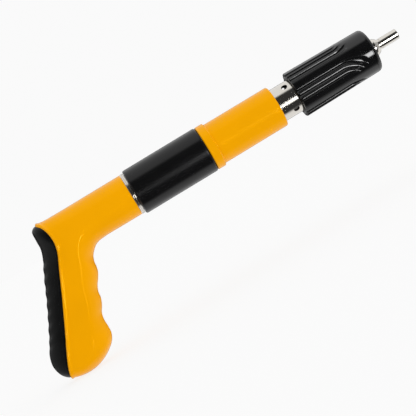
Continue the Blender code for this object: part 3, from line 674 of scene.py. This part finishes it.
def handle_region(name, side, span):
    """A cutter as large as the whole handle, over a span across the tool that is mirrored for side -1."""
    corners = [(REGION_REAR, REGION_BOTTOM), (REGION_AHEAD, REGION_BOTTOM)]
    corners += [(REGION_AHEAD, REGION_TOP), (REGION_REAR, REGION_TOP)]
    low, high = span
    cutter = slab(name, corners, (high - low) / 2)
    cutter.location.y = side * (low + high) / 2 * MM
    return cutter


def make_handle():
    line = spline(BACKSTRAP_LINE, 90)
    far_ends = [(REGION_REAR, REGION_BOTTOM), (REGION_REAR, 40)]
    for side, name in ((-1, "right"), (1, "left")):
        shell = handle_solid(f"handle_{name}")
        behind = slab("behind", np.concatenate([line, far_ends]), 40)
        cut(shell, behind, handle_region("split", side, (-2 * HALF_REGION, SPLIT)))
        core = handle_solid("core", STRAP_THICKNESS + GAP, 90, 64)
        cut(core, handle_region("keep", side, (SPLIT, SPLIT + 2 * HALF_REGION)), operation="INTERSECT")
        cut(shell, core, operation="UNION")
        cut(shell, handle_solid("cavity", HANDLE_WALL, 90, 64))
        add_screw_seats(shell, side)
        cut(shell, cylinder("bore", TUBE_SPACE, (REGION_AHEAD, 0, 0), (TUBE_SPACE_END, 0, 0), 144))
        skin(smooth(shell, 35), "receiver", f"handle_shell_{name}")
    strap = handle_solid("backstrap_skin")
    ahead = np.concatenate([moved_line(line, GAP), [(-260, REGION_BOTTOM), (-260, REGION_TOP)]])
    cut(strap, slab("ahead", ahead, 40), handle_solid("under", STRAP_THICKNESS, 90, 64))
    skin(smooth(strap, 35), "receiver", "backstrap")


# ------------------------------------------------------------------------------------ sleeves and tubes


def make_sleeves():
    bore = radius("receiver_tube") + GAP
    r, a, b = radius("lock_collar"), front("lock_collar"), rear("lock_collar")
    middle = (a + b) / 2
    groove = [(r, middle + 0.45, 0.15), (r - 0.6, middle + 0.2, 0.1)]
    groove += [(r - 0.6, middle - 0.2, 0.1), (r, middle - 0.45, 0.15)]
    collar = [(r, a, 0.45)] + groove + [(r, b, 0.45), (bore, b, 0), (bore, a, 0)]
    skin(smooth(lathe("collar_skin", collar)), "receiver", "lock_collar")

    r, a, b = radius("mid_sleeve"), front("mid_sleeve"), rear("mid_sleeve")
    sleeve = [(r, a, 1.8), (r, b, 1.6), (bore, b, 0.3), (bore, a, 0.3)]
    skin(smooth(lathe("mid_sleeve_skin", sleeve)), "receiver", "mid_sleeve")

    r, a, b = radius("front_sleeve"), front("front_sleeve"), rear("front_sleeve")
    body, step, lip = 20.0, -196.0, radius("vent_tube") + 2 * GAP
    sleeve = [(body - 0.1, a, 1.6), (body, step, 0.9), (r, step, 0.9), (r, b, 1.2)]
    sleeve += [(bore, b, 0), (bore, a - 2.3, 0), (lip, a - 2.3, 0), (lip, a, 0.3)]
    skin(smooth(lathe("front_sleeve_skin", sleeve)), "receiver", "front_sleeve")


def make_muzzle():
    r, a, b = radius("vent_tube"), front("vent_tube"), rear("vent_tube")
    tube = lathe("vent_tube_skin", [(r, a, 0.4), (r, b, 0.4), (r - 2, b, 0), (r - 2, a, 0)])
    for angle in (45, 135, 225, 315):
        hole = cylinder("vent", VENT_SIZE, *around(VENT_STATION, r - 4, r + 3, angle))
        span = around(VENT_STATION, r - 1.6, r + 0.6, angle)
        cut(tube, hole, cylinder("sink", VENT_SIZE - 0.5, *span, flare=VENT_SIZE + 0.5))
    skin(smooth(tube), "muzzle", "vent_tube")

    r, b = radius("barrel"), rear("barrel")
    bore, ring = 3.7, r - 0.45
    barrel = [(r, 0, 0.7), (r, -17.7, 0.15), (ring, -18.0, 0.1), (ring, -18.5, 0.1), (r, -18.8, 0.15)]
    barrel += [(r, b, 0), (bore, b, 0), (bore, 0, 0.4)]
    skin(smooth(lathe("barrel_skin", barrel, 96)), "muzzle", "barrel")

    a, b = front("barrel_nut"), rear("barrel_nut")
    nose, shoulder, body, bore = 8.5, -37.7, 13.7, 5.3
    nut = [(6.2, a, 0.5), (nose, -24.2, 2.4), (nose, shoulder, 0), (body, shoulder, 0.3)]
    nut += [(body, b, 0), (bore, b, 0), (bore, a, 0)]
    skin(smooth(lathe("barrel_nut_skin", nut, 96)), "muzzle", "barrel_nut")


# --------------------------------------------------------------------------------------------- muffler

FLUTE_WIDTH = 12.0  # degrees from one flute to the next
# Groups of three flutes: middle angle in degrees from the viewer's side upwards, the way their ends sweep,
# the station where the longest one ends, and how far it sweeps, in degrees.
FLUTE_GROUPS = [
    (48.0, 1, -46.5, 10),
    (-5.5, -1, -38.0, 32),
    (-70.0, -1, -44.5, 15),
    (-131.5, -1, -44.5, 13),
    (168.5, 1, -44.5, 13),
    (108.5, 1, -38.0, 30),
]
FLUTE_DEPTH, FLUTE_BEND = 1.3, -62.0  # the flutes are straight behind the bend
STAGGER, SHRINK = 4.5, 0.23  # how much sooner each next flute of a group ends, and how much less it sweeps
SWEEP_POWER, WALL_POWER = 1.7, 2.6  # how late a flute turns, and how steep its walls are
RUNOUT = 6  # length over which a flute fades at its end
FLUTES = []  # each flute's middle angle where it is straight, the way it sweeps, where it ends, its sweep
for middle, way, reach, sweep in FLUTE_GROUPS:
    for place in (-1, 0, 1):
        rank = 1 + place * way  # 0 for the group's longest flute, 2 for its shortest
        end, turn = reach - STAGGER * rank, sweep * (1 - SHRINK * rank)
        FLUTES.append((middle + place * FLUTE_WIDTH, way, end, turn))
FLUTES.sort()


def flute_sweeps(station):
    """How far each flute has turned at a station."""
    turns = []
    for _, way, end, sweep in FLUTES:
        run = min(max((station - FLUTE_BEND) / (end - FLUTE_BEND), 0), 1.15)
        turns.append(way * sweep * run**SWEEP_POWER)
    return np.array(turns)


def flute_depths(angles, station):
    """How deep the flutes are at each straight-part angle of a ring."""
    depth = np.zeros(angles.shape)
    for middle, _, end, _ in FLUTES:
        off = np.abs((angles - middle + 180) % 360 - 180) / (FLUTE_WIDTH / 2)
        fade = 1 - ramp(station, end - RUNOUT, end)
        depth += FLUTE_DEPTH * np.clip(1 - off**WALL_POWER, 0, 1) * fade
    return depth


def make_muffler():
    """One closed grid: out over the front face, back along the fluted side, and forwards inside."""
    a, b = front("muffler_shell"), rear("muffler_shell")
    r_front, r_rear = 21.1, 22.25
    corner, hole, wall, inner, seat = 4.0, 8.9, 5.3, 19.6, 18.9
    slope = (r_rear - r_front) / (a - b)
    nose = [(hole, a - 0.4), (hole + 0.4, a)]
    quarter = np.radians(np.linspace(90, 0, 12))
    nose += [(r_front - corner + corner * math.cos(q), a - corner + corner * math.sin(q)) for q in quarter]
    side = [(r_front + slope * (a - s), s) for s in np.arange(a - corner - 0.5, b + 1.0, -0.5)]
    rim = [(r_rear - 0.05, b + 0.8), (r_rear - 0.4, b + 0.2), (r_rear - 0.9, b)]
    rim += [(inner + 0.4, b), (inner, b + 0.4)]
    inside = [(inner, -66.0), (seat, -62.0), (seat, a - wall), (hole, a - wall)]
    outline = np.array(nose + side + rim + inside)
    fluted = np.zeros(len(outline))
    fluted[len(nose) : len(nose) + len(side)] = 1
    fluted[len(nose) + len(side) : len(nose) + len(side) + 3] = (1, 0.9, 0.6)
    sides = 420
    straight = np.arange(sides) * 360 / sides + 0.5  # a point falls on every ridge between two flutes
    middles = np.array([flute[0] for flute in FLUTES])
    grid = np.empty((len(outline), sides, 3))
    for ring, (r, station) in enumerate(outline):
        sweeps = flute_sweeps(station) if fluted[ring] else flute_sweeps(b)
        angles = np.radians(straight + np.interp(straight, middles, sweeps, period=360))
        reach = r - flute_depths(straight, station) * fluted[ring]
        grid[ring, :, 0] = station
        grid[ring, :, 1] = -reach * np.cos(angles)
        grid[ring, :, 2] = reach * np.sin(angles)
    skin(smooth(grid_object("muffler_skin", grid), 50, False), "muffler", "muffler_shell")


# --------------------------------------------------------------------------------- light, floor, camera

FLOOR_SIZE = 60.0  # metres
PALE = 0.955  # the backdrop's brightness, which is the floor's too


def make_floor():
    mesh = bpy.data.meshes.new("floor")
    half = FLOOR_SIZE / 2
    corners = [(-half, -half, 0), (half, -half, 0), (half, half, 0), (-half, half, 0)]
    mesh.from_pydata(corners, [], [(0, 1, 2, 3)])
    floor = add_object("floor", mesh)
    mesh.materials.append(pale_floor())
    floor.visible_glossy = False


class WorldNodes:
    """Short ways to add nodes to the world's shader."""

    def __init__(self):
        self.world = bpy.data.worlds.new("studio")
        self.world.use_nodes = True
        self.tree = self.world.node_tree
        self.world.cycles.sampling_method = "NONE"
        bpy.context.scene.world = self.world

    def math(self, operation, *values):
        node = self.tree.nodes.new("ShaderNodeMath")
        node.operation = operation
        for socket, value in zip(node.inputs, values):
            if isinstance(value, (int, float)):
                socket.default_value = value
            else:
                self.tree.links.new(value, socket)
        return node.outputs[0]

    def product(self, first, second):
        return self.math("MULTIPLY", first, second)

    def total(self, first, second):
        return self.math("ADD", first, second)

    def step(self, value, low, high):
        """0 before low, 1 past high, smooth between. low can be the larger one."""
        node = self.tree.nodes.new("ShaderNodeMapRange")
        node.interpolation_type = "SMOOTHSTEP"
        node.inputs["From Min"].default_value = low
        node.inputs["From Max"].default_value = high
        self.tree.links.new(value, node.inputs["Value"])
        return node.outputs["Result"]


# Where shiny surfaces see light, in degrees. Each light fades in from its first angle to its second.
SOFTBOX, SOFTBOX_BEHIND = (47, 60), (12, 28)
GROUND, GROUND_BEHIND = (-71, -86), (-12, -28)
BAND_BOTTOM, BAND_TOP = (-30, -24), (-6, -11)  # heights of the small front light
STRONG_START, STRONG_END = (8, 15), (28, 22)  # bearings of its strong part
FAINT_START, FAINT_END = (-1, 5), (11, 5)  # bearings of its faint part
RIGHT, LEFT = (45, 80), (-40, -75)  # bearings of the light ahead of the tool and behind it
PANEL_LEVEL, STRONG_LEVEL, FAINT_LEVEL = 0.95, 17.0, 0.5
RIGHT_LEVEL, LEFT_LEVEL, ROOM_LEVEL = 0.45, 0.5, 0.04
LEAN = 0.3  # how much stronger the soft light on matt surfaces is from ahead


def shining_light(nodes, x, y, z):
    """Brightness that shiny surfaces see in a direction."""
    degrees = 180 / math.pi
    height = nodes.product(nodes.math("ARCSINE", z), degrees)
    bearing = nodes.product(nodes.math("ARCTAN2", x, nodes.math("ABSOLUTE", y)), degrees)
    behind = nodes.step(y, -0.02, 0.02)
    softbox = nodes.product(behind, nodes.step(height, *SOFTBOX_BEHIND))
    softbox = nodes.math("MAXIMUM", nodes.step(height, *SOFTBOX), softbox)
    ground = nodes.product(behind, nodes.step(height, *GROUND_BEHIND))
    ground = nodes.math("MAXIMUM", nodes.step(height, *GROUND), ground)
    panels = nodes.total(nodes.product(softbox, PANEL_LEVEL), nodes.product(ground, PANEL_LEVEL))
    band = nodes.product(nodes.step(height, *BAND_BOTTOM), nodes.step(height, *BAND_TOP))
    band = nodes.product(band, nodes.math("SUBTRACT", 1.0, behind))
    strong = nodes.product(nodes.step(bearing, *STRONG_START), nodes.step(bearing, *STRONG_END))
    faint = nodes.product(nodes.step(bearing, *FAINT_START), nodes.step(bearing, *FAINT_END))
    levels = nodes.total(nodes.product(strong, STRONG_LEVEL), nodes.product(faint, FAINT_LEVEL))
    front_light = nodes.product(band, levels)
    right = nodes.product(nodes.step(bearing, *RIGHT), RIGHT_LEVEL)
    left = nodes.product(nodes.step(bearing, *LEFT), LEFT_LEVEL)
    around_tool = nodes.math("MAXIMUM", panels, nodes.total(right, left))
    return nodes.total(nodes.total(around_tool, front_light), ROOM_LEVEL)


def make_light():
    """Plain white light from all round. What shines sees a softbox, pale ground and a small front light."""
    nodes = WorldNodes()
    tree = nodes.tree
    direction = tree.nodes.new("ShaderNodeTexCoord").outputs["Generated"]
    split = tree.nodes.new("ShaderNodeSeparateXYZ")
    tree.links.new(direction, split.inputs[0])
    x, y, z = split.outputs
    paths = tree.nodes.new("ShaderNodeLightPath")
    seen, shiny = paths.outputs["Is Camera Ray"], paths.outputs["Is Glossy Ray"]
    matt = nodes.math("SUBTRACT", nodes.math("SUBTRACT", 1.0, seen), shiny)
    soft = nodes.total(1.0, nodes.product(x, LEAN))
    strength = nodes.total(nodes.product(seen, PALE), nodes.product(shiny, shining_light(nodes, x, y, z)))
    strength = nodes.total(strength, nodes.product(matt, soft))
    tree.links.new(strength, tree.nodes["Background"].inputs["Strength"])
    tree.nodes["Background"].inputs["Color"].default_value = (1, 1, 1, 1)


CAMERA_DISTANCE, LENS = 1227.0, 116.8
LOOKS_AT = (-230.7, -46.7)  # station and height at the middle of the picture
SQUARE_TO = -284.0  # station that the camera is beside
ELEVATION, ROLL = 2.0, 31.2  # degrees


def make_camera():
    data = bpy.data.cameras.new("camera")
    data.lens = LENS
    data.sensor_width = 36.0
    data.clip_end = 100
    camera = bpy.data.objects.new("camera", data)
    bpy.context.scene.collection.objects.link(camera)
    target = Vector(to_world((LOOKS_AT[0], 0, LOOKS_AT[1])))
    sideways = (SQUARE_TO - LOOKS_AT[0]) * MM
    rise = CAMERA_DISTANCE * MM * math.sin(math.radians(ELEVATION))
    away = math.sqrt((CAMERA_DISTANCE * MM) ** 2 - sideways**2 - rise**2)
    place = target + Vector((sideways, -away, rise))
    look = (target - place).normalized()
    right = look.cross(Vector((0, 0, 1))).normalized()
    up = right.cross(look)
    roll = math.radians(ROLL)
    tilted_right = right * math.cos(roll) - up * math.sin(roll)
    tilted_up = right * math.sin(roll) + up * math.cos(roll)
    axes = Matrix((tilted_right, tilted_up, -look)).transposed().to_4x4()
    camera.matrix_world = Matrix.Translation(place) @ axes
    bpy.context.scene.camera = camera


bpy.context.scene.view_settings.view_transform = "Standard"
make_camera()
make_light()
make_floor()
finish_nodes()
make_sleeves()
make_muzzle()
make_muffler()
make_handle()
make_screws()
